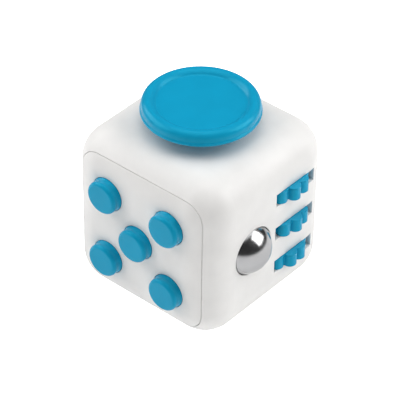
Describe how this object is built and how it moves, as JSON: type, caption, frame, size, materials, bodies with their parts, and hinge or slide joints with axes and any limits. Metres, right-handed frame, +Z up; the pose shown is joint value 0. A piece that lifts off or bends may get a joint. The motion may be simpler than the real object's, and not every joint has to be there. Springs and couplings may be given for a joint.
{
  "type": "fidget cube",
  "caption": "Hand-held cube with rounded edges: push buttons, a tilting thumb disc, gear wheels, a roller ball, a rocker, a dial and a thumb recess.",
  "frame": {"origin": "centre of the face that the cube rests on", "axes": "+Z up from the resting face to the thumb disc, -Y the button face, +X the gear and ball face, +Y the rocker face, -X the dial face"},
  "size_m": [0.0384, 0.0363, 0.0384],
  "materials": {
    "white_plastic": "fine satin moulded surface",
    "blue_plastic": "smooth satin, soft touch",
    "inner_plastic": "plain moulded",
    "steel": "turned, zinc plated",
    "spring_steel": "drawn wire",
    "polished_steel": "mirror polished"
  },
  "bodies": {
    "casing": {"body_shell": "white_plastic", "front_cover": "white_plastic", "click_plate": "inner_plastic", "click_plate_screws": "steel", "glide_housing": "inner_plastic", "glide_screws": "steel", "glide_spring": "spring_steel", "gear_axle": "steel", "gear_spacers": "inner_plastic", "gear_bracket": "inner_plastic", "gear_bracket_screws": "steel", "ball_spring": "spring_steel", "ball_housing": "inner_plastic", "ball_housing_screws": "steel", "flip_housing": "inner_plastic", "flip_pin": "steel", "flip_housing_screws": "steel", "spin_click_spring": "spring_steel", "spin_click_screw": "steel", "button_spring_top_left": "spring_steel", "button_spring_top_right": "spring_steel", "button_spring_centre": "spring_steel", "button_spring_bottom_left": "spring_steel", "button_spring_bottom_right": "spring_steel"},
    "button_top_left": {"button_top_left": "blue_plastic"},
    "button_top_right": {"button_top_right": "blue_plastic"},
    "button_centre": {"button_centre": "blue_plastic"},
    "button_bottom_left": {"button_bottom_left": "blue_plastic"},
    "button_bottom_right": {"button_bottom_right": "blue_plastic"},
    "gear_top": {"gear_top": "blue_plastic"},
    "gear_middle": {"gear_middle": "blue_plastic"},
    "gear_bottom": {"gear_bottom": "blue_plastic"},
    "ball_seat": {"ball_cup": "inner_plastic"},
    "ball": {"roller_ball": "polished_steel"},
    "glide_ring": {"glide_ring": "inner_plastic", "glide_ring_pins": "steel", "glide_cross_pin": "steel"},
    "glide_stick": {"glide_stem": "blue_plastic", "glide_disc": "blue_plastic"},
    "rocker": {"flip_rocker": "blue_plastic", "flip_plunger": "steel", "flip_spring": "spring_steel"},
    "dial": {"spin_dial": "blue_plastic", "spin_wheel": "inner_plastic", "spin_washer": "steel", "spin_screw": "steel"}
  },
  "joints": [
    {"name": "press_top_left", "type": "slide", "parent": "casing", "child": "button_top_left", "axis": [0, 1, 0], "range_m": [0, 0.0012], "stiffness_N_per_m": 900, "springref_m": -0.001, "deforming": ["button_spring_top_left"]},
    {"name": "press_top_right", "type": "slide", "parent": "casing", "child": "button_top_right", "axis": [0, 1, 0], "range_m": [0, 0.0012], "stiffness_N_per_m": 900, "springref_m": -0.001, "deforming": ["button_spring_top_right"]},
    {"name": "press_centre", "type": "slide", "parent": "casing", "child": "button_centre", "axis": [0, 1, 0], "range_m": [0, 0.0012], "stiffness_N_per_m": 900, "springref_m": -0.001, "deforming": ["button_spring_centre"]},
    {"name": "press_bottom_left", "type": "slide", "parent": "casing", "child": "button_bottom_left", "axis": [0, 1, 0], "range_m": [0, 0.0012], "stiffness_N_per_m": 900, "springref_m": -0.001, "deforming": ["button_spring_bottom_left"]},
    {"name": "press_bottom_right", "type": "slide", "parent": "casing", "child": "button_bottom_right", "axis": [0, 1, 0], "range_m": [0, 0.0012], "stiffness_N_per_m": 900, "springref_m": -0.001, "deforming": ["button_spring_bottom_right"]},
    {"name": "gear_spin_top", "type": "hinge", "parent": "casing", "child": "gear_top", "pos_m": [0.01243, 0.00605, 0.0239], "axis": [0, 0, 1], "continuous": true},
    {"name": "gear_spin_middle", "type": "hinge", "parent": "casing", "child": "gear_middle", "pos_m": [0.01243, 0.00605, 0.0165], "axis": [0, 0, 1], "continuous": true},
    {"name": "gear_spin_bottom", "type": "hinge", "parent": "casing", "child": "gear_bottom", "pos_m": [0.01243, 0.00605, 0.0091], "axis": [0, 0, 1], "continuous": true},
    {"name": "ball_press", "type": "slide", "parent": "casing", "child": "ball_seat", "axis": [-1, 0, 0], "range_m": [0, 0.0006], "stiffness_N_per_m": 1500, "springref_m": -0.0005, "deforming": ["ball_spring"]},
    {"name": "ball_roll", "type": "hinge", "parent": "ball_seat", "child": "ball", "pos_m": [0.01425, -0.00498, 0.0165], "axis": [0, 0, 1], "continuous": true},
    {"name": "glide_tilt_side", "type": "hinge", "parent": "casing", "child": "glide_ring", "pos_m": [0, 0, 0.0287], "axis": [1, 0, 0], "range_deg": [-8, 8], "stiffness_Nm_per_rad": 0.02},
    {"name": "glide_tilt_front", "type": "hinge", "parent": "glide_ring", "child": "glide_stick", "pos_m": [0, 0, 0.0287], "axis": [0, 1, 0], "range_deg": [-8, 8], "stiffness_Nm_per_rad": 0.02, "deforming": ["glide_spring"]},
    {"name": "flip_rock", "type": "hinge", "parent": "casing", "child": "rocker", "pos_m": [0, 0.0134, 0.0165], "axis": [-1, 0, 0], "range_deg": [0, 16]},
    {"name": "dial_spin", "type": "hinge", "parent": "casing", "child": "dial", "pos_m": [-0.0165, 0, 0.0165], "axis": [-1, 0, 0], "continuous": true}
  ]
}
